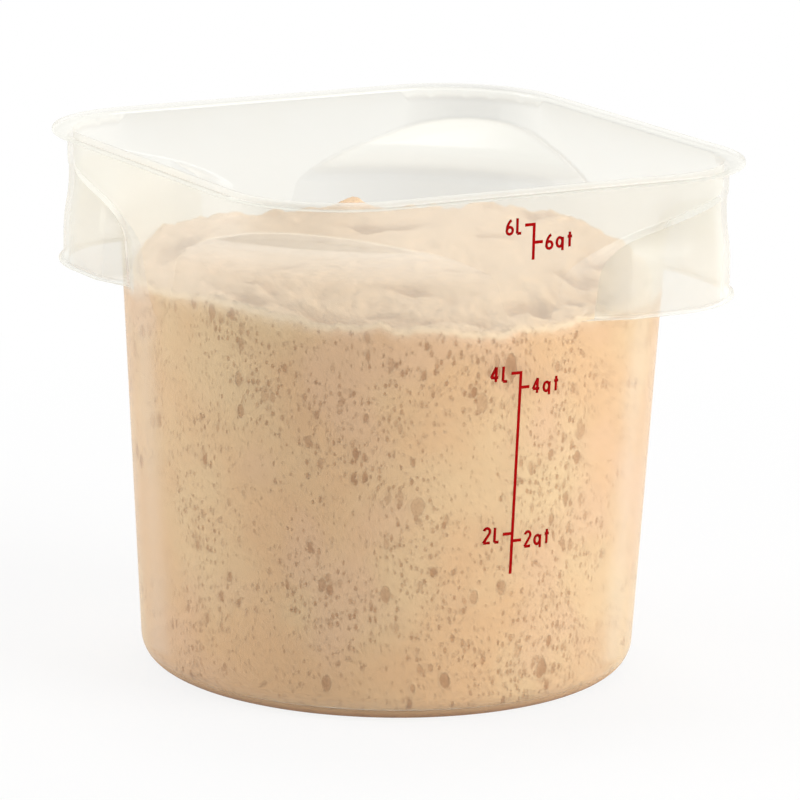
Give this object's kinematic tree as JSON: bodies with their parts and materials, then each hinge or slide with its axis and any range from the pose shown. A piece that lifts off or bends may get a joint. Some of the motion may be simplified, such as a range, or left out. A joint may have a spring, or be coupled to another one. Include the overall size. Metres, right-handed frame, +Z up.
{
  "type": "dough proofing container",
  "caption": "Round tapered food tub with a square flanged rim, two grip skirts under opposite corners and volume scales printed on one side, holding risen dough.",
  "frame": {"origin": "middle of the foot, on the table", "axes": "+Z up out of the mouth; the printed scales are on the -Y flat, and the grip skirts are under the (+X, -Y) and (-X, +Y) corners"},
  "size_m": [0.2228, 0.2228, 0.207],
  "materials": {
    "tub_plastic": "satin",
    "dough": "matte",
    "scale_ink": "satin"
  },
  "bodies": {
    "tub": {"tub": "tub_plastic", "lower_scale": "scale_ink", "upper_scale": "scale_ink"},
    "dough": {"dough": "dough"}
  },
  "joints": [
    {"name": "dough_lift", "type": "slide", "parent": "tub", "child": "dough", "axis": [0, 0, 1], "range_m": [0, 0.22]}
  ]
}
